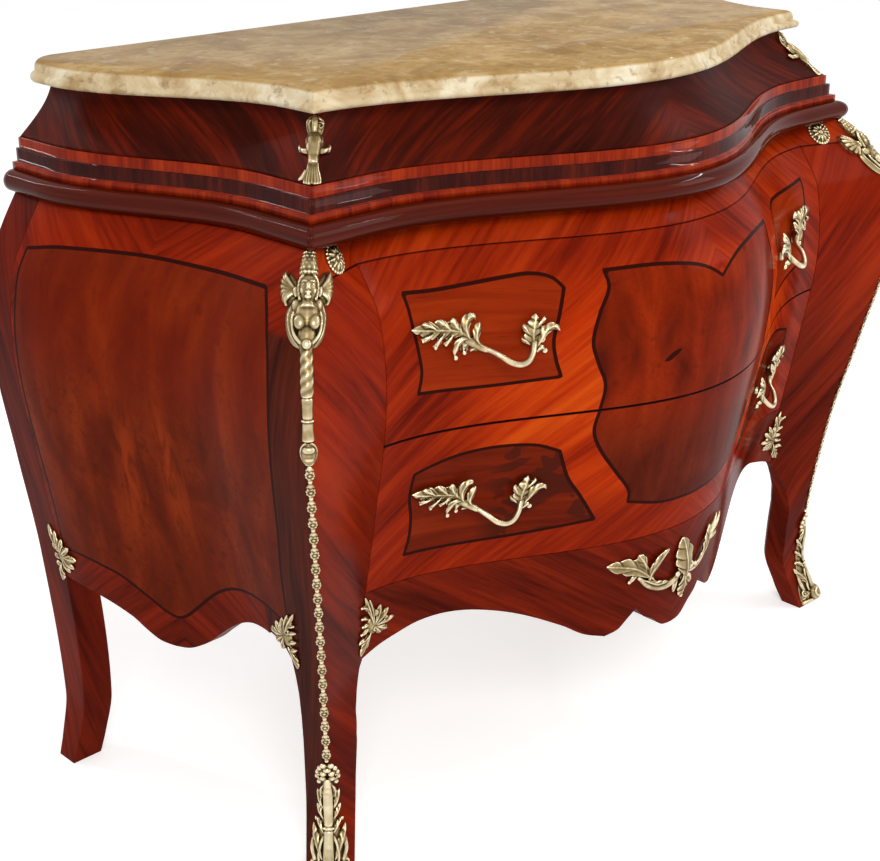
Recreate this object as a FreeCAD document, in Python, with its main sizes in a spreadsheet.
"""Bombe chest of two long drawers: marble top, veneered case on cabriole legs, cast brass mounts.

Millimetres, +Z up, front towards -Y, origin on the floor under the middle of the case.
"""
import FreeCAD, Part
import math
import os

Vector = FreeCAD.Vector
doc = FreeCAD.newDocument("BombeChest")

# --------------------------------------------------------------------------- driving sizes
SIZES = (
    ("overall_height", 851,"floor to the face of the marble"),
    ("marble_thickness", 22, "marble slab"),
    ("marble_step_height", 10, "lower, round member of the marble edge"),
    ("marble_step_set_back", 4, "set-back of the upper member of the marble edge"),
    ("marble_splay", 100, "how far the marble widens from front to back, each side"),
    ("marble_ear_radius", 36, "round of the marble's back corners"),
    ("frieze_height", 60, "concave neck under the marble"),
    ("frieze_board", 22, "frieze board at its neck"),
    ("neck_set_back", 16, "neck behind the marble's corner"),
    ("frieze_foot_out", 29, "foot of the frieze in front of the marble's corner"),
    ("upper_band_height", 11, "upper light band"),
    ("upper_band_out", 31, "its face in front of the marble's corner"),
    ("dark_band_height", 14, "dark band"),
    ("dark_band_out", 35, "its face"),
    ("lower_band_height", 8, "lower light band"),
    ("lower_band_out", 41, "its face"),
    ("torus_height", 24, "half-round moulding over the case"),
    ("torus_out", 54, "its crown in front of the marble's corner"),
    ("torus_root_out", 42, "where its half-round starts"),
    ("ring_bow", 120, "bow of the frieze and mouldings at the middle of the front"),
    ("top_rail_height", 28, "rail over the upper drawer"),
    ("upper_drawer_height", 185, "upper drawer front with its joint"),
    ("lower_drawer_height", 180, "lower drawer front with its joint"),
    ("drawer_half_width", 385, "drawer opening from the middle"),
    ("corner_lead", 21, "marble's front corner outside the drawer opening"),
    ("back_splay", 81, "case at the back outside that corner, before it swells"),
    ("ring_back_splay", 77, "moulding frame at the back outside that corner"),
    ("side_run", 365, "marble's front corner to the back"),
    ("sweep_margin", 2, "side runs straight this far behind the frieze's inner corner"),
    ("sweep_length", 265, "and sweeps outwards over this length"),
    ("front_bow", 130, "bow of the case at the middle of the front"),
    ("keel_depth", 33, "corner keel in front of the drawer joint"),
    ("leg_keel_depth", 19, "the same at the floor, where the line of the apron would meet it"),
    ("leg_square_height", 150, "height up to which a front leg is square"),
    ("leg_square_step", 2, "keel in front of a square leg's inner edge"),
    ("foot_out", 69, "keel at the floor in front of the marble's corner"),
    ("toe_height", 28, "height of the toe"),
    ("toe_out", 60, "keel at the top of the toe"),
    ("ankle_height", 84, "height of the ankle"),
    ("ankle_out", 48, "keel at the ankle"),
    ("knee_drop", 427, "knee below the top of the case"),
    ("knee_out", 65.5, "keel at the knee"),
    ("waist_drop", 303, "waist below the top of the case"),
    ("waist_out", 87, "keel at the waist"),
    ("belly_drop", 168, "belly below the top of the case"),
    ("belly_out", 108, "keel at the belly"),
    ("shoulder_drop", 76, "shoulder below the top of the case"),
    ("shoulder_out", 99, "keel at the shoulder"),
    ("throat_drop", 33, "throat below the top of the case"),
    ("throat_out", 72, "keel at the throat"),
    ("case_top_out", 46, "keel at the top of the case"),
    ("side_swell_share", 0.8, "swell at the back, as a share of the keel's"),
    ("stile_joint_depth", 20, "front stile to side panel joint behind the marble's corner"),
    ("stile_thickness", 40, "front stile behind its face"),
    ("leg_front_width", 42, "front leg across its front face"),
    ("leg_side_depth", 38, "front leg across its side face"),
    ("back_stile_depth", 50, "back stile, front to back"),
    ("back_stile_inset", 32, "inner edge of the back stile inside the case's back corner"),
    ("back_leg_width", 40, "back leg across its front face"),
    ("back_leg_depth", 32, "back leg at the floor, front to back"),
    ("back_arch_rise", 28, "foot of the back rail over the end of the side apron"),
    ("back_arch_bulge", 5.8, "round between the back leg and the back rail"),
    ("panel_thickness", 20, "side panel"),
    ("rail_thickness", 24, "top rail and aprons"),
    ("apron_blank_margin", 10, "apron board below its lowest lobe, before it is sawn"),
    ("leg_arch_drop", 18, "inner edge of the front leg below the end of the arch"),
    ("leg_arch_bulge", 3.6, "round between them"),
    ("apron_lobe_bulge", 10, "round between an outer lobe and its cusp"),
    ("apron_centre_bulge", 8, "round between a cusp and the middle lobe"),
    ("apron_centre_drop", 137, "middle lobe below the lower drawer"),
    ("apron_lobe_drop", 125, "outer lobes below the lower drawer"),
    ("apron_lobe_out", 100, "outer lobes from the middle"),
    ("apron_cusp_drop", 101, "cusps below the lower drawer"),
    ("apron_cusp_out", 62, "cusps from the middle"),
    ("apron_arch_drop", 57, "crown of each arch below the lower drawer"),
    ("apron_arch_out", 280, "crown of each arch from the middle"),
    ("apron_end_drop", 84, "arch where it meets the leg"),
    ("side_lobe_drop", 95, "lobe of the side apron below the lower drawer"),
    ("side_lobe_depth", 165, "lobe of the side apron behind the marble's corner"),
    ("side_arch_drop", 20, "front arch of the side apron below the lower drawer"),
    ("side_arch_depth", 14, "front arch behind the marble's corner"),
    ("side_end_drop", 66, "side apron where it meets the back leg"),
    ("side_curve_run", 28, "level run on each side of the side apron's arch and lobe"),
    ("side_curve_dip", 6, "how far the edge falls or rises over that run"),
    ("drawer_front_thickness", 22, "drawer front"),
    ("drawer_gap", 1, "gap round a drawer front"),
    ("drawer_side_thickness", 12, "drawer side"),
    ("drawer_side_inset", 12, "drawer side from the edge of the opening"),
    ("drawer_back_gap", 75, "drawer back from the back of the case"),
    ("drawer_head_room", 14, "drawer side below the top of its front"),
    ("kicker_gap", 1.5, "kicker over the drawer side"),
    ("drawer_bottom_thickness", 6, "drawer bottom"),
    ("drawer_bottom_rise", 10, "drawer bottom above the runner"),
    ("board_thickness", 12, "dust boards, runners and kickers"),
    ("board_front_gap", 5, "dust boards behind the drawer front and the apron"),
    ("runner_reach", 50, "runner from the edge of the opening inwards"),
    ("runner_side_gap", 3, "runner from the side panel"),
    ("guide_height", 20, "side guides"),
    ("guide_rest", 6, "side guide past the edge of the opening"),
    ("running_clearance", 0.5, "between a drawer and what guides it"),
    ("seat_clearance", 0.3, "between fixed curved pieces"),
    ("back_panel_thickness", 12, "back panel"),
    ("back_rebate", 6, "back panel behind the back edges"),
    ("sub_top_thickness", 18, "board under the marble"),
    ("stop_size", 20, "drawer stop blocks"),
    ("glue_block_size", 30, "glue blocks under the sub-top"),
    ("mount_relief", 5, "height of the flat cast mounts over the wood"),
    ("rosette_radius", 13, "round bosses beside the upper drawer"),
    ("rosette_seat", 0.8, "their flat backs over the curved face"),
    ("rosette_drop", 14, "their centres below the top of the case"),
    ("rosette_out", 37, "their centres outside the drawer joint"),
    ("apron_leaf_length", 58, "leaf mount where the front arch meets the leg"),
    ("side_leaf_length", 52, "leaf mounts at the ends of the side apron"),
    ("shell_height", 66, "shell in the middle of the front apron"),
    ("spray_length", 108, "leaf sprays beside the shell"),
    ("pull_inset", 130, "middle of a pull from the edge of the drawer opening"),
    ("pull_span", 78, "between the ends of a pull's bail"),
    ("pull_sag", 26, "bail below its ends"),
    ("pull_stand_off", 26, "bail in front of the drawer"),
    ("bail_radius", 4.2, "bail's rod"),
    ("pull_post_radius", 5, "posts that carry the bail"),
    ("pull_leaf_rise", 44, "upright leaf of a pull"),
    ("pull_leaf_reach", 52, "outer leaf of a pull"),
    ("pull_screw_radius", 2, "screws that hold the pulls"),
    ("pull_screw_bite", 10, "their reach into the posts"),
    ("pull_screw_head_radius", 4.5, "their heads"),
    ("pull_screw_head_height", 3, "their heads, inside the drawer"),
    ("frieze_mount_height", 57, "corner mount on the frieze"),
    ("frieze_mount_reach", 24, "its wings along each face"),
    ("bust_height", 80, "bust under the mouldings, down the keel"),
    ("bust_reach", 27, "its scrolls along each face"),
    ("stem_height", 76, "twisted stem under the bust"),
    ("stem_reach", 7, "the stem along each face"),
    ("shell_bead_height", 24, "shell under the stem"),
    ("shell_bead_reach", 12, "it, along each face"),
    ("chain_pitch", 19.5, "between beads on the keel"),
    ("bead_reach", 6, "beads along each face"),
    ("chain_neck_reach", 3, "chain between two beads, along each face"),
    ("sabot_height", 144, "cast shoe, up the keel"),
    ("sabot_reach", 30, "it, along each face at the toe"),
)

sheet = doc.addObject("Spreadsheet::Sheet", "Sizes")
for row, (alias, value, note) in enumerate(SIZES, 1):
    sheet.set(f"A{row}", alias)
    sheet.set(f"B{row}", str(value))
    sheet.set(f"C{row}", note)
    sheet.setAlias(f"B{row}", alias)
doc.recompute()


def size(expression):
    """Value of a size, or of an expression of sizes."""
    return float(sheet.evalExpression(expression))


def cell(name):
    return f"Sizes.{name}"


# Levels, from the top down, as expressions of the sheet.
TOP = cell("overall_height")
MARBLE_FOOT = f"({TOP} - {cell('marble_thickness')})"
FRIEZE_FOOT = f"({MARBLE_FOOT} - {cell('frieze_height')})"
UPPER_BAND_FOOT = f"({FRIEZE_FOOT} - {cell('upper_band_height')})"
DARK_BAND_FOOT = f"({UPPER_BAND_FOOT} - {cell('dark_band_height')})"
LOWER_BAND_FOOT = f"({DARK_BAND_FOOT} - {cell('lower_band_height')})"
CASE_TOP = f"({LOWER_BAND_FOOT} - {cell('torus_height')})"
RAIL_FOOT = f"({CASE_TOP} - {cell('top_rail_height')})"
DRAWER_SPLIT = f"({RAIL_FOOT} - {cell('upper_drawer_height')})"
APRON_TOP = f"({DRAWER_SPLIT} - {cell('lower_drawer_height')})"

# Front to back. The case is centred on the origin between its belly and its back.
CASE_DEPTH = (f"({cell('side_run')} + {cell('belly_out')} - {cell('keel_depth')}"
              f" + {cell('front_bow')})")
BACK_Y = f"({CASE_DEPTH} / 2)"
CORNER_Y = f"({BACK_Y} - {cell('side_run')})"
STILE_JOINT_Y = f"({CORNER_Y} + {cell('stile_joint_depth')})"
BACK_STILE_Y = f"({BACK_Y} - {cell('back_stile_depth')})"
PANEL_INNER_Y = f"({BACK_Y} - {cell('back_rebate')} - {cell('back_panel_thickness')})"
DRAWER_BACK_Y = f"({BACK_Y} - {cell('drawer_back_gap')})"

top = size(TOP)
marble_foot = size(MARBLE_FOOT)
frieze_foot = size(FRIEZE_FOOT)
upper_band_foot = size(UPPER_BAND_FOOT)
dark_band_foot = size(DARK_BAND_FOOT)
lower_band_foot = size(LOWER_BAND_FOOT)
case_top = size(CASE_TOP)
rail_foot = size(RAIL_FOOT)
drawer_split = size(DRAWER_SPLIT)
apron_top = size(APRON_TOP)
back_y = size(BACK_Y)
corner_y = size(CORNER_Y)
stile_joint_y = size(STILE_JOINT_Y)
back_stile_y = size(BACK_STILE_Y)

drawer_half = size("drawer_half_width")
corner_half = drawer_half + size("corner_lead")
back_stile_inner = corner_half + size("back_splay") - size("back_stile_inset")
front_bow = size("front_bow")
keel_depth = size("keel_depth")
seat = size("seat_clearance")

# --------------------------------------------------------------------------- the bombe form
KEEL_PROFILE = (
    (0.0, size("foot_out")),
    (size("toe_height"), size("toe_out")),
    (size("ankle_height"), size("ankle_out")),
    (case_top - size("knee_drop"), size("knee_out")),
    (case_top - size("waist_drop"), size("waist_out")),
    (case_top - size("belly_drop"), size("belly_out")),
    (case_top - size("shoulder_drop"), size("shoulder_out")),
    (case_top - size("throat_drop"), size("throat_out")),
    (case_top, size("case_top_out")),
)


def smooth_value(points, at):
    """Cubic through the points, with the slope at each taken from its neighbours."""
    last = len(points) - 1
    span = max(i for i in range(last) if points[i][0] <= at or i == 0)

    def slope(i):
        before, after = points[max(i - 1, 0)], points[min(i + 1, last)]
        return (after[1] - before[1]) / (after[0] - before[0])

    (start, low), (end, high) = points[span], points[span + 1]
    run = end - start
    share = (at - start) / run
    return (low * (1 + 2 * share) * (1 - share) ** 2
            + high * share ** 2 * (3 - 2 * share)
            + run * slope(span) * share * (1 - share) ** 2
            - run * slope(span + 1) * share ** 2 * (1 - share))


def keel_out(z):
    """How far the corner keel stands out, along X and along -Y alike."""
    return smooth_value(KEEL_PROFILE, z)


def bell(share):
    """1 at the middle of the front, 0 from the drawer's edge outwards, flat at both."""
    return (1 + math.cos(math.pi * min(abs(share), 1))) / 2


def sweep(y):
    """0 along the front part of a side, 1 along its back part, an S between them."""
    start = corner_y + size("neck_set_back") + size("frieze_board") + size("sweep_margin")
    share = min(max((y - start) / size("sweep_length"), 0), 1)
    return (1 - math.cos(math.pi * share)) / 2


def keel_x(z):
    return corner_half + keel_out(z)


def keel_y(z):
    return corner_y - keel_out(z)


def keel_step(z):
    """Keel in front of the drawer joint: full over the case, less down the leg."""
    share = min(max(z / apron_top, 0), 1)
    return size("leg_keel_depth") + (keel_depth - size("leg_keel_depth")) * share


def stile_step(z):
    """Keel in front of the stile's inner edge: the leg turns square under the apron's arch."""
    arch_end = apron_top - size("apron_end_drop")
    square = size("leg_square_height")
    share = min(max((z - square) / (arch_end - square), 0), 1)
    turn = share * share * (3 - 2 * share)
    return size("leg_square_step") + (keel_step(max(z, arch_end)) - size("leg_square_step")) * turn


def front_y(x, z):
    """Face of the case at the front; beyond the drawer joint it runs straight to the keel."""
    joint_y = keel_y(z) + keel_step(z)
    if abs(x) <= drawer_half:
        return joint_y - front_bow * bell(x / drawer_half)
    return joint_y - keel_step(z) * (abs(x) - drawer_half) / (keel_x(z) - drawer_half)


def side_x(y, z):
    """Face of the case at the right side."""
    out = keel_out(z)
    back_out = size("back_splay") + size("side_swell_share") * out
    return corner_half + out + (back_out - out) * sweep(y)


def spread(start, end, count):
    return [start + (end - start) * i / (count - 1) for i in range(count)]


def levels(low, high, pitch=30):
    return spread(low, high, max(3, math.ceil((high - low) / pitch) + 1))


# --------------------------------------------------------------------------- shape helpers
def curve(points):
    """Edge through the points: straight for two, a spline for more."""
    if len(points) == 2:
        return Part.LineSegment(*points).toShape()
    spline = Part.BSplineCurve()
    spline.interpolate(points)
    return spline.toShape()


def closed_wire(*runs):
    """Closed wire of point runs; each run ends where the next begins."""
    return Part.Wire([curve(run) for run in runs])


def polygon(points):
    ends = points[1:] + points[:1]
    return Part.Wire([Part.LineSegment(a, b).toShape() for a, b in zip(points, ends)])


def prism(wire, direction):
    return Part.Face(wire).extrude(direction)


def loft(wires, ruled=False):
    return Part.makeLoft(wires, True, ruled)


def mirrored(shape):
    return shape.mirror(Vector(0, 0, 0), Vector(1, 0, 0))


def union(shapes):
    shapes = list(shapes)
    return shapes[0].multiFuse(shapes[1:]).removeSplitter() if len(shapes) > 1 else shapes[0]


def node(name, shape):
    feature = doc.addObject("Part::Feature", name)
    feature.Label = name
    feature.Shape = shape
    feature.Placement = FreeCAD.Placement()
    return feature


def both_sides(name, right_shape):
    node(f"{name}_right", right_shape)
    node(f"{name}_left", mirrored(right_shape))


def board(name, low, extent):
    """Rectangular board; low corner and extent are expressions of the sheet."""
    box = doc.addObject("Part::Box", name)
    box.Label = name
    for edge, expression in zip(("Length", "Width", "Height"), extent):
        box.setExpression(edge, expression)
    for axis, expression in zip("xyz", low):
        box.setExpression(f"Placement.Base.{axis}", expression)
    return box


# --------------------------------------------------------------------------- case front
FRONT_POINTS = 17


def front_strip(z, start_x, end_x, back_off, face_off=0.0, count=FRONT_POINTS):
    """Section of a piece that follows the case front, from its face back by back_off."""
    places = spread(start_x, end_x, count)
    face = [Vector(x, front_y(x, z) + face_off, z) for x in places]
    rear = [Vector(x, front_y(x, z) + back_off, z) for x in reversed(places)]
    return closed_wire(face, [face[-1], rear[0]], rear, [rear[-1], face[0]])


def front_piece(low, high, half, thickness):
    return loft([front_strip(z, -half, half, thickness) for z in levels(low, high)])


UNDER_FLOOR = Vector(0, 0, -50)     # the saw cuts between the legs run on below the floor
LEG_POINTS = 9


def rounded(start, end, bulge):
    """Curved run in an XZ plane: its middle stands off the chord by bulge, to the chord's left."""
    chord = end - start
    aside = Vector(-chord.z, 0, chord.x).normalize()
    return [start, (start + end) / 2 + aside * bulge, end]


def front_opening():
    """Space under the front apron and between the front legs, as a block through the front."""
    def at(x, drop):
        return Vector(x, 0, apron_top - drop)

    end_drop, lobe_drop = size("apron_end_drop"), size("apron_lobe_drop")
    leg_levels = spread(0, apron_top - end_drop - size("leg_arch_drop"), LEG_POINTS)
    leg_edge = [Vector(keel_x(z) - size("leg_front_width"), 0, z) for z in leg_levels]
    arch_end = at(drawer_half, end_drop)
    lobe = at(size("apron_lobe_out"), lobe_drop)
    cusp = at(size("apron_cusp_out"), size("apron_cusp_drop"))
    middle = at(0, size("apron_centre_drop"))
    arch_x, arch_drop = size("apron_arch_out"), size("apron_arch_drop")
    fall = lobe_drop - arch_drop
    arch = [arch_end,
            at((arch_end.x + arch_x) / 2, (end_drop + 3 * arch_drop) / 4),
            at(arch_x, arch_drop),
            at((2 * arch_x + lobe.x) / 3, arch_drop + 0.12 * fall),
            at((arch_x + 2 * lobe.x) / 3, arch_drop + 0.6 * fall),
            lobe]
    half = [leg_edge,
            rounded(leg_edge[-1], arch_end, -size("leg_arch_bulge")),
            arch,
            rounded(lobe, cusp, size("apron_lobe_bulge")),
            rounded(cusp, middle, size("apron_centre_bulge"))]
    other = [[Vector(-p.x, 0, p.z) for p in reversed(run)] for run in reversed(half)]
    start, end = leg_edge[0], Vector(-leg_edge[0].x, 0, 0)
    outline = closed_wire(*half, *other,
                          [end, end + UNDER_FLOOR],
                          [end + UNDER_FLOOR, start + UNDER_FLOOR],
                          [start + UNDER_FLOOR, start])
    block = prism(outline, Vector(0, -2 * back_y, 0))
    return block.translated(Vector(0, stile_joint_y + size("stile_thickness"), 0))


def side_opening():
    """Space under the side apron, between the front and back legs, through the right side."""
    def at(depth, drop):
        return Vector(0, corner_y + depth, apron_top - drop)

    back_depth, end_drop = size("side_run") - size("back_stile_depth"), size("side_end_drop")
    lobe_depth, lobe_drop = size("side_lobe_depth"), size("side_lobe_drop")
    arch_depth, arch_drop = size("side_arch_depth"), size("side_arch_drop")
    run, dip = size("side_curve_run"), size("side_curve_dip")
    leg_levels = spread(0, apron_top - end_drop, LEG_POINTS)
    leg_edge = [Vector(0, keel_y(z) + size("leg_side_depth"), z) for z in leg_levels]
    crown, back = at(arch_depth, arch_drop), at(back_depth, end_drop)
    front_arch = [leg_edge[-1], at(arch_depth - run, arch_drop + 2 * dip), crown]
    lobe_edge = [crown,
                 at(arch_depth + run, arch_drop + dip),
                 at((arch_depth + lobe_depth) / 2, (arch_drop + lobe_drop) / 2 + dip),
                 at(lobe_depth - run, lobe_drop - dip),
                 at(lobe_depth, lobe_drop),
                 at((lobe_depth + back_depth) / 2 - run, (lobe_drop + end_drop) / 2 - dip),
                 back]
    under_back, under_leg = Vector(0, back.y, 0) + UNDER_FLOOR, leg_edge[0] + UNDER_FLOOR
    outline = closed_wire(leg_edge, front_arch, lobe_edge, [back, under_back],
                          [under_back, under_leg], [under_leg, leg_edge[0]])
    return prism(outline, Vector(2 * corner_half, 0, 0)).translated(Vector(drawer_half / 2, 0, 0))


under_front = front_opening()
under_side = side_opening()

node("top_rail", front_piece(rail_foot, case_top, drawer_half, size("rail_thickness")))

blank_margin = size("apron_blank_margin")
apron_low = apron_top - size("apron_centre_drop") - blank_margin
apron_blank = front_piece(apron_low, apron_top, drawer_half, size("rail_thickness"))
node("front_apron", apron_blank.cut(under_front))


# --------------------------------------------------------------------------- stiles and legs
def front_stile_section(z):
    """Keel, drawer joint, two inner corners and side joint."""
    joint_x = side_x(stile_joint_y, z)
    face_y = keel_y(z) + stile_step(z)
    thick = size("stile_thickness")
    inner_y = min(face_y + thick, stile_joint_y - 1)
    return polygon([
        Vector(keel_x(z), keel_y(z), z),
        Vector(drawer_half, face_y, z),
        Vector(drawer_half, inner_y, z),
        Vector(joint_x - thick, stile_joint_y, z),
        Vector(joint_x, stile_joint_y, z)])


STILE_PITCH = 14    # between the sections, so that a stile keeps to its keel under the castings
STILE_LEVELS = sorted(set(levels(0, size("ankle_height"), STILE_PITCH)
                          + levels(size("ankle_height"), case_top, STILE_PITCH)))
front_stile = loft([front_stile_section(z) for z in STILE_LEVELS])
both_sides("front_stile", front_stile.cut(under_side).cut(under_front))


def back_stile_section(z):
    """Square stile, thinner from its front towards the floor."""
    knee = apron_top - size("side_end_drop")
    thinning = max(1 - z / knee, 0) ** 2
    front = back_stile_y + (size("back_stile_depth") - size("back_leg_depth")) * thinning
    return polygon([
        Vector(side_x(front, z), front, z),
        Vector(side_x(back_y, z), back_y, z),
        Vector(back_stile_inner, back_y, z),
        Vector(back_stile_inner, front, z)])


def back_leg_opening():
    """Space beside the right back leg, under the back rail."""
    knee = apron_top - size("side_end_drop")
    edge = [Vector(side_x(back_y, z) - size("back_leg_width"), 0, z)
            for z in spread(0, knee, LEG_POINTS)]
    crown = Vector(back_stile_inner, 0, knee + size("back_arch_rise"))
    inside = Vector(drawer_half, 0, crown.z)
    under_inside, under_leg = Vector(drawer_half, 0, 0) + UNDER_FLOOR, edge[0] + UNDER_FLOOR
    outline = closed_wire(edge, rounded(edge[-1], crown, -size("back_arch_bulge")),
                          [crown, inside], [inside, under_inside],
                          [under_inside, under_leg], [under_leg, edge[0]])
    return prism(outline, Vector(0, 4 * back_y, 0))


back_stile = loft([back_stile_section(z) for z in STILE_LEVELS])
both_sides("back_stile", back_stile.cut(back_leg_opening()))


# --------------------------------------------------------------------------- case sides
def side_strip(z, start_y, end_y, thickness, count=13):
    places = spread(start_y, end_y, count)
    face = [Vector(side_x(y, z), y, z) for y in places]
    rear = [Vector(side_x(y, z) - thickness, y, z) for y in reversed(places)]
    return closed_wire(face, [face[-1], rear[0]], rear, [rear[-1], face[0]])


def side_piece(low, high):
    wires = [side_strip(z, stile_joint_y, back_stile_y, size("panel_thickness"))
             for z in levels(low, high)]
    return loft(wires)


both_sides("side_panel", side_piece(apron_top, case_top))
side_apron_low = apron_top - size("side_lobe_drop") - blank_margin
both_sides("side_apron", side_piece(side_apron_low, apron_top).cut(under_side))


# --------------------------------------------------------------------------- frieze, mouldings, marble
def ring_front_y(x, out, bow, half):
    return corner_y - out - bow * bell(x / half)


def ring_side_x(y, out, splay):
    return corner_half + out + splay * sweep(y)


ring_splay = size("ring_back_splay")
ring_bow = size("ring_bow")
neck_out = -size("neck_set_back")
frieze_inner_out = neck_out - size("frieze_board")
ring_bow_half = min(drawer_half, corner_half + frieze_inner_out - seat)


def ring_front_section(z, out, inner_out):
    """Front member of a ring at one level, mitred at the corners of the case."""
    def run(offset):
        reach = corner_half + offset
        return [Vector(x, ring_front_y(x, offset, ring_bow, ring_bow_half), z)
                for x in spread(-reach, reach, 21)]
    outer, inner = run(out), run(inner_out)[::-1]
    return closed_wire(outer, [outer[-1], inner[0]], inner, [inner[-1], outer[0]])


def ring_side_section(z, out, inner_out):
    """Right side member of the ring at one level."""
    def run(offset):
        return [Vector(ring_side_x(y, offset, ring_splay), y, z)
                for y in spread(corner_y - offset, back_y, 13)]
    outer, inner = run(out), run(inner_out)[::-1]
    return closed_wire(outer, [outer[-1], inner[0]], inner, [inner[-1], outer[0]])


def frieze_stations():
    """Levels of the neck with its face: hollow, steepest at the foot, upright at the top."""
    rise = marble_foot - frieze_foot
    flare = size("frieze_foot_out") - neck_out
    return [(frieze_foot + rise * share, neck_out + flare * (1 - math.sin(share * math.pi / 2)))
            for share in spread(0, 1, 8)]


def torus_stations():
    """Half-round: level and face at even turns from foot to crown to top."""
    middle, radius = (case_top + lower_band_foot) / 2, size("torus_height") / 2
    swell = size("torus_out") - size("torus_root_out")
    return [(middle + radius * math.sin(turn), size("torus_root_out") + swell * math.cos(turn))
            for turn in spread(-math.pi / 2, math.pi / 2, 9)]


def ring_piece(section, stations, inner_out):
    return loft([section(z, out, inner_out) for z, out in stations])


BANDS = (
    (upper_band_foot, size("upper_band_height"), size("upper_band_out")),
    (dark_band_foot, size("dark_band_height"), size("dark_band_out")),
    (lower_band_foot, size("lower_band_height"), size("lower_band_out")),
)


def banded(section):
    return union(prism(section(z, out, frieze_inner_out), Vector(0, 0, height))
                 for z, height, out in BANDS)


node("frieze_front", ring_piece(ring_front_section, frieze_stations(), frieze_inner_out))
both_sides("frieze_side", ring_piece(ring_side_section, frieze_stations(), frieze_inner_out))
node("banded_moulding_front", banded(ring_front_section))
both_sides("banded_moulding_side", banded(ring_side_section))
node("torus_front", ring_piece(ring_front_section, torus_stations(), frieze_inner_out))
both_sides("torus_side", ring_piece(ring_side_section, torus_stations(), frieze_inner_out))


def marble_section(z, out):
    """Outline of the marble at one level: bowed front, swept sides, round back corners."""
    splay, ear = size("marble_splay"), size("marble_ear_radius")
    reach = corner_half + out
    front = [Vector(x, ring_front_y(x, out, ring_bow, reach), z)
             for x in spread(-reach, reach, 21)]
    side = [Vector(ring_side_x(y, out, splay), y, z)
            for y in spread(corner_y - out, back_y - ear, 11)]
    ear_middle = Vector(side[-1].x - ear, back_y - ear, z)
    corner = [ear_middle + Vector(ear * math.cos(turn), ear * math.sin(turn), 0)
              for turn in spread(0, math.pi / 2, 3)]
    right_ear = Part.Arc(*corner).toShape()
    left = [Vector(-p.x, p.y, z) for p in corner]
    left_ear = Part.Arc(*reversed(left)).toShape()
    back = curve([corner[-1], left[-1]])
    left_side = curve([Vector(-p.x, p.y, z) for p in reversed(side)])
    return Part.Wire([curve(front), curve(side), right_ear, back, left_ear, left_side])


MARBLE_LEAD = 0.6           # centre of the round member inside the marble's corner, in its radii
UPPER_MEMBER = ((0, 0), (0.45, 0.5), (0.8, 2.5), (1, 6))    # share of its height, set-back in mm


def marble():
    """Round lower member and a smaller upper member with an eased edge, one stone."""
    step = size("marble_step_height")
    radius = step / 2
    lower = [(marble_foot + radius + radius * math.sin(turn),
              radius * (math.cos(turn) - MARBLE_LEAD))
             for turn in spread(-math.pi / 2, math.pi / 2, 5)]
    base = marble_foot + step
    back_off = size("marble_step_set_back")
    upper = [(base + share * (top - base), -back_off - set_back)
             for share, set_back in UPPER_MEMBER]
    return union(loft([marble_section(z, out) for z, out in run], ruled=True)
                 for run in (lower, upper))


node("marble_top", marble())


def ring_plate(low, thickness, out, back):
    """Flat board that fills the ring at one level, from its front to a straight back edge."""
    reach = corner_half + out
    front = [Vector(x, ring_front_y(x, out, ring_bow, ring_bow_half), low)
             for x in spread(-reach, reach, 21)]
    side = [Vector(ring_side_x(y, out, ring_splay), y, low)
            for y in spread(corner_y - out, back, 11)]
    left = [Vector(-p.x, p.y, low) for p in reversed(side)]
    return prism(closed_wire(front, side, [side[-1], left[0]], left), Vector(0, 0, thickness))


sub_top_thickness = size("sub_top_thickness")
node("sub_top", ring_plate(marble_foot - sub_top_thickness, sub_top_thickness,
                           frieze_inner_out - seat, back_y))

# --------------------------------------------------------------------------- back of the case
CORNER_HALF = f"({cell('drawer_half_width')} + {cell('corner_lead')})"
BACK_HALF = (f"({CORNER_HALF} + {cell('back_splay')} - {cell('back_stile_inset')}"
             f" - {cell('seat_clearance')})")
RING_BACK_HALF = (f"({CORNER_HALF} + {cell('ring_back_splay')} - {cell('neck_set_back')}"
                  f" - {cell('frieze_board')} - {cell('seat_clearance')})")
RAIL = cell("rail_thickness")
BACK_RAIL_FOOT = f"({APRON_TOP} - {cell('side_end_drop')} + {cell('back_arch_rise')})"
board("back_panel",
      (f"-{BACK_HALF}", PANEL_INNER_Y, APRON_TOP),
      (f"2 * {BACK_HALF}", cell("back_panel_thickness"), f"{CASE_TOP} - {APRON_TOP}"))
board("back_bottom_rail",
      (f"-{BACK_HALF}", f"{BACK_Y} - {RAIL}", BACK_RAIL_FOOT),
      (f"2 * {BACK_HALF}", RAIL, f"{APRON_TOP} - {BACK_RAIL_FOOT}"))
board("back_top_rail",
      (f"-{RING_BACK_HALF}", f"{BACK_Y} - {RAIL}", CASE_TOP),
      (f"2 * {RING_BACK_HALF}", RAIL,
       f"{MARBLE_FOOT} - {cell('sub_top_thickness')} - {CASE_TOP}"))

# --------------------------------------------------------------------------- runners and boards
BOARD = cell("board_thickness")
board_thickness = size("board_thickness")
runner_inner = drawer_half - size("runner_reach")
clearance = size("running_clearance")


def carrier(low):
    """Right runner or kicker: from under the drawer side out to the side panel."""
    panel = size("panel_thickness") + size("runner_side_gap")
    front, back = stile_joint_y + seat, back_stile_y - seat
    edge = [Vector(min(side_x(y, low), side_x(y, low + board_thickness)) - panel, y, low)
            for y in spread(front, back, 9)]
    corners = [Vector(runner_inner, front, low), edge[0], edge[-1], Vector(runner_inner, back, low)]
    outline = closed_wire(edge, [corners[2], corners[3]], [corners[3], corners[0]],
                          [corners[0], corners[1]])
    return prism(outline, Vector(0, 0, board_thickness))


def pair(right_shape):
    return Part.makeCompound([right_shape, mirrored(right_shape)])


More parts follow.
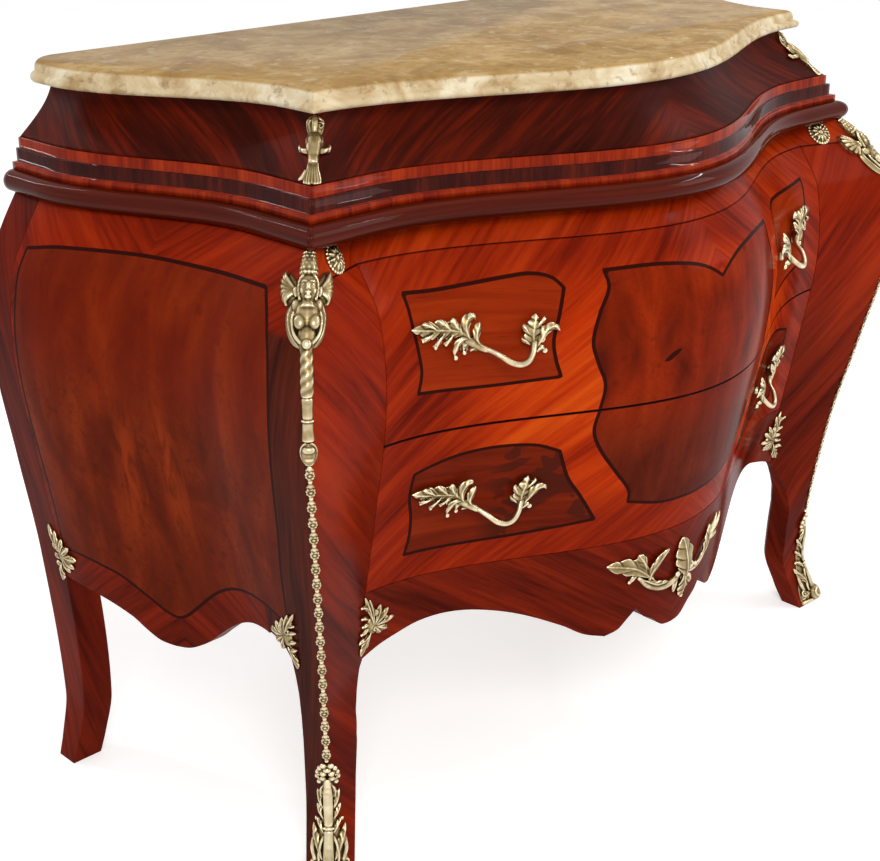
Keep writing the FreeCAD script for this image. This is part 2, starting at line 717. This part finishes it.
split_board_low = drawer_split - board_thickness
bottom_board_low = apron_top - board_thickness
kicker_low = rail_foot - size("drawer_head_room") + size("kicker_gap")
node("upper_runners", pair(carrier(split_board_low)))
node("lower_runners", pair(carrier(bottom_board_low)))
node("kickers", pair(carrier(kicker_low)))


def dust_board(low, front_set_back, back):
    """Board between the runners, bowed like the front, with a straight back edge."""
    half = runner_inner
    level = low + board_thickness
    front = [Vector(x, front_y(x, level) + front_set_back, low) for x in spread(-half, half, 17)]
    outline = closed_wire(front, [front[-1], Vector(half, back, low)],
                          [Vector(half, back, low), Vector(-half, back, low)],
                          [Vector(-half, back, low), front[0]])
    return prism(outline, Vector(0, 0, board_thickness))


front_thickness = size("drawer_front_thickness")
board_gap = size("board_front_gap")
node("dust_board", dust_board(split_board_low, front_thickness + board_gap, size(PANEL_INNER_Y)))
node("bottom_board", dust_board(bottom_board_low, size("rail_thickness") + board_gap,
                                back_y - size("rail_thickness")))

GUIDE_X = f"({cell('drawer_half_width')} - {cell('drawer_side_inset')} + {cell('running_clearance')})"


def guide(low):
    """Right side guide on its runner."""
    inner = size(GUIDE_X)
    front = stile_joint_y + seat
    width = drawer_half - inner + size("guide_rest")
    bar = Part.makeBox(width, back_stile_y - seat - front, size("guide_height"))
    return bar.translated(Vector(inner, front, low))


node("drawer_guides", Part.makeCompound([pair(guide(drawer_split)), pair(guide(apron_top))]))


def stop(low):
    """Stop block behind the drawer back, on the runner's inner edge."""
    block = size("stop_size")
    box = Part.makeBox(block, block, size("guide_height"))
    return box.translated(Vector(runner_inner, size(DRAWER_BACK_Y) + clearance, low))


node("drawer_stops", Part.makeCompound([pair(stop(drawer_split)), pair(stop(apron_top))]))


def glue_block(x, y, turn):
    """Three-cornered block under the sub-top against the frieze."""
    leg = size("glue_block_size")
    corner = [Vector(0, 0, 0), Vector(leg, 0, 0), Vector(0, 0, -leg)]
    block = prism(polygon(corner), Vector(0, leg, 0))
    block.rotate(Vector(0, 0, 0), Vector(0, 0, 1), turn)
    return block.translated(Vector(x, y, marble_foot - sub_top_thickness))


side_block_y = corner_y - frieze_inner_out + size("glue_block_size") + seat
side_block_x = ring_side_x(side_block_y - size("glue_block_size"), frieze_inner_out, ring_splay) - seat
back_block_y = back_y - size("rail_thickness")
node("glue_blocks", Part.makeCompound([
    pair(glue_block(side_block_x, side_block_y, 180)),
    pair(glue_block(drawer_half / 2, back_block_y, -90))]))


# --------------------------------------------------------------------------- drawers
relief = size("mount_relief")
pull_middle = drawer_half - size("pull_inset")


def face_frame(x, z):
    """Point of the case front and its outward direction there."""
    step = 5
    slope_x = (front_y(x + step, z) - front_y(x - step, z)) / (2 * step)
    slope_z = (front_y(x, z + step) - front_y(x, z - step)) / (2 * step)
    return Vector(x, front_y(x, z), z), Vector(slope_x, -1, slope_z).normalize()


def pull_feet(level):
    """Foot and outward direction of the right pull's outer and inner post."""
    half = size("pull_span") / 2
    return [face_frame(x, level) for x in (pull_middle + half, pull_middle - half)]


def screw_axis(foot, out):
    """Start of a pull screw's shank under its head, and the shank's length."""
    start = foot + out * (front_thickness * out.y - seat)
    end = foot + out * size("pull_screw_bite")
    return start, (end - start).Length


def screw_holes(level):
    """Holes for the right pull's screws, through the drawer front and into the posts."""
    radius = size("pull_screw_radius") + seat
    holes = []
    for foot, out in pull_feet(level):
        start, length = screw_axis(foot, out)
        holes.append(Part.makeCylinder(radius, length + 2 * seat, start - out * seat, out))
    return holes


def pull_screws(level):
    """Screws of the right pull: round heads inside the drawer, shanks into the posts."""
    screws = []
    for foot, out in pull_feet(level):
        start, length = screw_axis(foot, out)
        head_height = size("pull_screw_head_height")
        head = Part.makeCylinder(size("pull_screw_head_radius"), head_height,
                                 start - out * head_height, out)
        screws.append(head.fuse(Part.makeCylinder(size("pull_screw_radius"), length, start, out)))
    return Part.makeCompound(screws)


def drawer_front(low, high, pull_level):
    """Bowed front, with the holes for the screws of both pulls."""
    half = drawer_half - size("drawer_gap")
    blank = loft([front_strip(z, -half, half, front_thickness) for z in levels(low, high, 15)])
    right_holes = screw_holes(pull_level)
    return blank.cut(right_holes + [mirrored(hole) for hole in right_holes])


def drawer_side(low, high):
    """Right side: its front end follows the inner face of the bowed front."""
    outer = drawer_half - size("drawer_side_inset")
    inner = outer - size("drawer_side_thickness")
    back = size(DRAWER_BACK_Y)

    def section(z):
        inner_front, outer_front = (front_y(x, z) + front_thickness + seat for x in (inner, outer))
        return polygon([Vector(inner, inner_front, z), Vector(outer, outer_front, z),
                        Vector(outer, back, z), Vector(inner, back, z)])
    return loft([section(z) for z in levels(low, high, 15)])


def drawer_bottom(low):
    thickness = size("drawer_bottom_thickness")
    half = drawer_half - size("drawer_side_inset") - size("drawer_side_thickness") - seat / 3
    rear = size(DRAWER_BACK_Y) - size("drawer_side_thickness") - seat / 3

    def set_back(x):
        """Clears the front's inner face at both the top and the bottom of the board."""
        return max(front_y(x, low), front_y(x, low + thickness)) + front_thickness + seat

    front = [Vector(x, set_back(x), low) for x in spread(-half, half, 17)]
    outline = closed_wire(front, [front[-1], Vector(half, rear, low)],
                          [Vector(half, rear, low), Vector(-half, rear, low)],
                          [Vector(-half, rear, low), front[0]])
    return prism(outline, Vector(0, 0, thickness))


def drawer(name, low_expression, height_expression, pull_level):
    """One drawer: bowed front, two sides, back and bottom. It stands on its runners."""
    gap = size("drawer_gap")
    low = size(low_expression)
    high = low + size(height_expression)
    side_low = low + clearance
    side_high = high - size("drawer_head_room")
    node(f"{name}_drawer_front", drawer_front(low + gap / 2, high - gap / 2, pull_level))
    both_sides(f"{name}_drawer_side", drawer_side(side_low, side_high))
    inner = (f"({cell('drawer_half_width')} - {cell('drawer_side_inset')}"
             f" - {cell('drawer_side_thickness')})")
    board(f"{name}_drawer_back",
          (f"-{inner}", f"{DRAWER_BACK_Y} - {cell('drawer_side_thickness')}",
           f"{low_expression} + {cell('running_clearance')}"),
          (f"2 * {inner}", cell("drawer_side_thickness"),
           f"{height_expression} - {cell('drawer_head_room')} - {cell('running_clearance')}"))
    node(f"{name}_drawer_bottom", drawer_bottom(side_low + size("drawer_bottom_rise")))


upper_pull_level = (rail_foot + drawer_split) / 2
lower_pull_level = (drawer_split + apron_top) / 2
drawer("upper", DRAWER_SPLIT, cell("upper_drawer_height"), upper_pull_level)
drawer("lower", APRON_TOP, cell("lower_drawer_height"), lower_pull_level)


# --------------------------------------------------------------------------- cast mounts on the front
def front_layer(low, high, start_x, end_x, relief, count=13):
    """Sheet of the given height that lies on the case front."""
    wires = [front_strip(z, start_x, end_x, -seat, -seat - relief, count)
             for z in levels(low, high, 15)]
    return loft(wires)


def relief_on_front(outlines, relief):
    """Cast plate of the joined outlines (x, z points), lying on the case front."""
    through = Vector(0, -4 * back_y, 0)
    cutter = union(prism(polygon([Vector(x, back_y, z) for x, z in outline]), through)
                   for outline in outlines)
    xs = [x for outline in outlines for x, _ in outline]
    zs = [z for outline in outlines for _, z in outline]
    margin = 2
    return front_layer(min(zs) - margin, max(zs) + margin,
                       min(xs) - margin, max(xs) + margin, relief).common(cutter)


def side_layer(low, high, start_y, end_y, relief):
    def section(z):
        places = spread(start_y, end_y, 7)
        face = [Vector(side_x(y, z) + seat + relief, y, z) for y in places]
        rear = [Vector(side_x(y, z) + seat, y, z) for y in reversed(places)]
        return closed_wire(face, [face[-1], rear[0]], rear, [rear[-1], face[0]])
    return loft([section(z) for z in levels(low, high, 15)])


def relief_on_side(outline, relief):
    points = [Vector(0, y, z) for y, z in outline]
    cutter = prism(polygon(points), Vector(4 * corner_half, 0, 0))
    ys, zs = [y for y, _ in outline], [z for _, z in outline]
    margin = 2
    return side_layer(min(zs) - margin, max(zs) + margin,
                      min(ys) - margin, max(ys) + margin, relief).common(cutter)


LOBE_TIP, LOBE_NOTCH, LOBE_TAPER = 0.75, 0.45, 0.55     # shares of a lobe and of the leaf's width
UPRIGHT = 90        # degrees from the horizontal
LEAN = 7            # degrees that a leaf leans out of the upright or the level


def leaf_outline(foot, reach, turn, lobes=3, waist=0.32):
    """Outline of a lobed leaf: middle of its foot, length, direction in degrees."""
    half = [(0.0, 0.15 * waist * reach)]
    for i in range(lobes):
        width = waist * reach * (1 - LOBE_TAPER * i / lobes)
        half += [(i / lobes, LOBE_NOTCH * width), ((i + LOBE_TIP) / lobes, width)]
    mirror_half = [(place, -width) for place, width in reversed(half)]
    angle = math.radians(turn)
    outline = []
    for place, width in half + [(1.0, 0.0)] + mirror_half:
        step = place * reach
        outline.append((foot[0] + step * math.cos(angle) - width * math.sin(angle),
                        foot[1] + step * math.sin(angle) + width * math.cos(angle)))
    return outline


def rosette():
    """Round domed boss on the front of the right stile, beside the upper drawer's top corner."""
    radius = size("rosette_radius")
    foot, out = face_frame(drawer_half + size("rosette_out"), case_top - size("rosette_drop"))
    centre = foot + out * size("rosette_seat")
    disc = Part.makeCylinder(radius, 0.4 * relief, centre, out)
    ball = Part.makeSphere(radius, centre - out * (0.4 * radius))
    core = Part.makeCylinder(0.8 * radius, radius, centre, out)
    return disc.fuse(ball.common(core))


node("rosettes", pair(rosette()))


def apron_leaf():
    """Leaf mount where the front arch meets the right leg."""
    foot = (drawer_half + size("leg_side_depth") / 2, apron_top - size("apron_end_drop"))
    return relief_on_front([leaf_outline(foot, size("apron_leaf_length"), UPRIGHT + LEAN)], relief)


node("apron_corner_leaves", pair(apron_leaf()))


def side_leaves():
    """Leaf mounts at both ends of the right side apron."""
    length = size("side_leaf_length")
    end = apron_top - size("side_end_drop")
    front_foot = (corner_y - size("side_arch_depth"), end + length / 2)
    back_foot = (back_y - size("back_stile_depth") / 2, end)
    return Part.makeCompound([
        relief_on_side(leaf_outline(front_foot, length, UPRIGHT - LEAN), relief),
        relief_on_side(leaf_outline(back_foot, length, UPRIGHT + LEAN), relief)])


node("side_apron_leaves", pair(side_leaves()))


def apron_centre():
    """Shell and two leaf sprays in the middle of the front apron, one casting."""
    shell_height, spray_length = size("shell_height"), size("spray_length")
    spray_z = apron_top - shell_height
    shell = leaf_outline((0, spray_z - shell_height / 3), shell_height, UPRIGHT, 2)
    right = leaf_outline((0, spray_z), spray_length, 12, 3, 0.2)
    left = [(-x, z) for x, z in right]
    return relief_on_front([shell, right, left], relief)


node("apron_centre_mount", apron_centre())


# --------------------------------------------------------------------------- cast mounts on the corners
def straddle(z, corner, inward, reach, rise):
    """Section of a casting over a corner: a wing on the front face and one on the side face.

    corner is (x, y), inward the direction of the front face away from it, reach the length of
    the wings, rise the height over the edge.
    """
    apex = Vector(*corner, z)
    along = Vector(*inward, 0).normalize()
    front_out = Vector(-along.y, along.x, 0)
    side_along, side_out = Vector(0, 1, 0), Vector(1, 0, 0)
    ahead = (front_out + side_out).normalize()
    root = apex + front_out * seat + along * (seat * (1 - front_out.x) / along.x)
    thin, full, shoulder = 0.35 * rise, 0.8 * rise, 0.4 * reach
    return polygon([
        root,
        apex + along * reach + front_out * seat,
        apex + along * reach + front_out * (seat + thin),
        apex + along * shoulder + front_out * (seat + full),
        apex + ahead * (seat + rise),
        apex + side_along * shoulder + side_out * (seat + full),
        apex + side_along * reach + side_out * (seat + thin),
        apex + side_along * reach + side_out * seat])


CASTING_STEP = 7     # longest straight span of a casting down the curved keel


def keel_casting(stations):
    """Casting down the right keel, through (level, reach, rise) stations."""
    rows = [stations[0]]
    for before, after in zip(stations, stations[1:]):
        steps = math.ceil((before[0] - after[0]) / CASTING_STEP)
        rows += [tuple(a + (b - a) * i / steps for a, b in zip(before, after))
                 for i in range(1, steps + 1)]
    return loft([straddle(z, (keel_x(z), keel_y(z)), (drawer_half - keel_x(z), stile_step(z)),
                          reach, rise) for z, reach, rise in rows], ruled=True)


def frieze_mount():
    """Leafed casting in the hollow of the frieze's corner."""
    height, reach = size("frieze_mount_height"), size("frieze_mount_reach")
    flare = size("frieze_foot_out") - neck_out

    def station(share, wing, rise):
        z = frieze_foot + 1 + height * share
        rise_share = (z - frieze_foot) / size("frieze_height")
        out = neck_out + flare * (1 - math.sin(rise_share * math.pi / 2))
        return straddle(z, (corner_half + out, corner_y - out), (-1, 0), wing * reach, rise)

    return loft([station(*row) for row in (
        (0.00, 0.50, 0.8 * relief), (0.06, 0.55, relief), (0.14, 0.35, 1.2 * relief),
        (0.26, 0.40, 1.4 * relief), (0.36, 0.95, 1.2 * relief), (0.44, 1.00, relief),
        (0.56, 0.35, 1.2 * relief), (0.72, 0.42, relief), (0.86, 0.30, 0.9 * relief),
        (1.00, 0.10, 0.5 * relief))], ruled=True)


node("frieze_corner_mounts", pair(frieze_mount()))


def bust():
    """Draped bust with scroll wings, its twisted stem and the shell under it, one casting."""
    height, reach = size("bust_height"), size("bust_reach")
    stem_top = case_top - height
    stem, stem_reach = size("stem_height"), size("stem_reach")
    shell_top = stem_top - stem
    shell, shell_reach = size("shell_bead_height"), size("shell_bead_reach")
    bust_rows = (
        (0.01, 0.30, 0.30), (0.14, 0.36, 0.42), (0.26, 0.48, 0.48), (0.33, 0.95, 0.46),
        (0.47, 0.90, 0.46), (0.54, 0.52, 0.50), (0.70, 0.68, 0.66), (0.88, 0.70, 0.56))
    stem_rows = ((0.0, 1.3, 1.3), (0.25, 1.0, 1.0), (0.5, 0.85, 0.9), (0.75, 1.1, 1.0))
    shell_rows = ((0.0, 0.55, 0.5), (0.35, 1.0, 0.8), (0.65, 0.95, 0.8), (0.98, 0.4, 0.4))
    stations = ([(case_top - share * height, wing * reach, rise * reach)
                 for share, wing, rise in bust_rows]
                + [(stem_top - share * stem, wing * stem_reach, rise * stem_reach)
                   for share, wing, rise in stem_rows]
                + [(shell_top - share * shell, wing * shell_reach, rise * shell_reach)
                   for share, wing, rise in shell_rows])
    return keel_casting(stations)


node("corner_busts", pair(bust()))


def chain():
    """String of beads down the keel, from the shell to the shoe."""
    start = (case_top - size("bust_height") - size("stem_height") - size("shell_bead_height")
             - seat)
    end = size("sabot_height") + seat
    beads = max(1, round((start - end) / size("chain_pitch")))
    pitch = (start - end) / beads
    bead, neck = size("bead_reach"), size("chain_neck_reach")
    stations = []
    for i in range(beads):
        top_z = start - i * pitch
        stations += [(top_z, neck, neck), (top_z - 0.3 * pitch, bead, bead),
                     (top_z - 0.7 * pitch, bead, bead)]
    return keel_casting(stations + [(end, neck, neck)])


node("ridge_chains", pair(chain()))


def sabot():
    """Cast shoe round the front foot: leaf over the ankle, wider over the toe."""
    height, reach = size("sabot_height"), size("sabot_reach")
    return keel_casting([(max(share * height, 1), wing * reach, rise * reach)
                         for share, wing, rise in (
        (1.00, 0.15, 0.16), (0.90, 0.40, 0.26), (0.80, 0.26, 0.24), (0.68, 0.55, 0.30),
        (0.54, 0.42, 0.27), (0.36, 0.80, 0.33), (0.22, 0.95, 0.40), (0.10, 1.00, 0.52),
        (0.00, 1.00, 0.48))])


node("sabots", pair(sabot()))


# --------------------------------------------------------------------------- pulls
def rod(points, radius):
    """Round rod along a smooth line through the points."""
    spline = Part.BSplineCurve()
    spline.interpolate(points)
    path = Part.Wire([spline.toShape()])
    start = spline.tangent(spline.FirstParameter)[0]
    ring = Part.Wire([Part.makeCircle(radius, points[0], start)])
    return path.makePipeShell([ring], True, True)


def pull(level):
    """Fixed pull of the right side: leaf plates on the drawer front, two posts and a hanging bail.

    The long leaf points away from the middle of the chest.
    """
    stand, sag = size("pull_stand_off"), size("pull_sag")
    rod_radius, post_radius = size("bail_radius"), size("pull_post_radius")
    post_height = 0.75 * stand
    posts, ends = [], []
    for foot, out in pull_feet(level):
        start = foot + out * (relief / 2)
        posts.append(Part.makeCylinder(post_radius, post_height - relief / 2, start, out))
        ends.append(foot + out * (post_height - rod_radius / 2))
    foot, out = face_frame(pull_middle, level - sag)
    low_point = foot + out * stand
    hang = [(end + low_point) * 0.5 - Vector(0, 0, 0.28 * sag) + out * (rod_radius / 2)
            for end in ends]
    bail = rod([ends[0], hang[0], low_point, hang[1], ends[1]], rod_radius)
    rise, reach = size("pull_leaf_rise"), size("pull_leaf_reach")
    outer, inner = (foot for foot, _ in pull_feet(level))
    plates = [
        relief_on_front([leaf_outline((outer.x - post_radius, level), reach, LEAN),
                         leaf_outline((outer.x, level - 0.3 * rise), rise, UPRIGHT, 2)], relief),
        relief_on_front([leaf_outline((inner.x, level - 0.3 * rise), rise, UPRIGHT, 2),
                         leaf_outline((inner.x + post_radius, level), 0.55 * reach,
                                      2 * UPRIGHT, 2, 0.4)],
                        relief)]
    return union(plates + posts + [bail]).cut(screw_holes(level))


for drawer_name, pull_level in (("upper", upper_pull_level), ("lower", lower_pull_level)):
    both_sides(f"{drawer_name}_pull", pull(pull_level))
    node(f"{drawer_name}_pull_screws", pair(pull_screws(pull_level)))


def finish():
    """Recompute, check every object, and write one file for each piece."""
    doc.recompute()
    pieces = [item for item in doc.Objects if item.TypeId != "Spreadsheet::Sheet"]
    for item in doc.Objects:
        if "Invalid" in item.State or "Error" in item.State:
            raise RuntimeError(f"{item.Name} failed: {item.State}")
    for item in pieces:
        if item.Shape.isNull() or not item.Shape.isValid():
            raise RuntimeError(f"{item.Label} has no valid shape")
    os.makedirs("parts", exist_ok=True)
    for item in pieces:
        item.Shape.exportStep(f"parts/{item.Label}.step")
        print(f"{item.Label}: {item.Shape.Volume / 1000:.1f} cm3, {len(item.Shape.Solids)} solids")


finish()
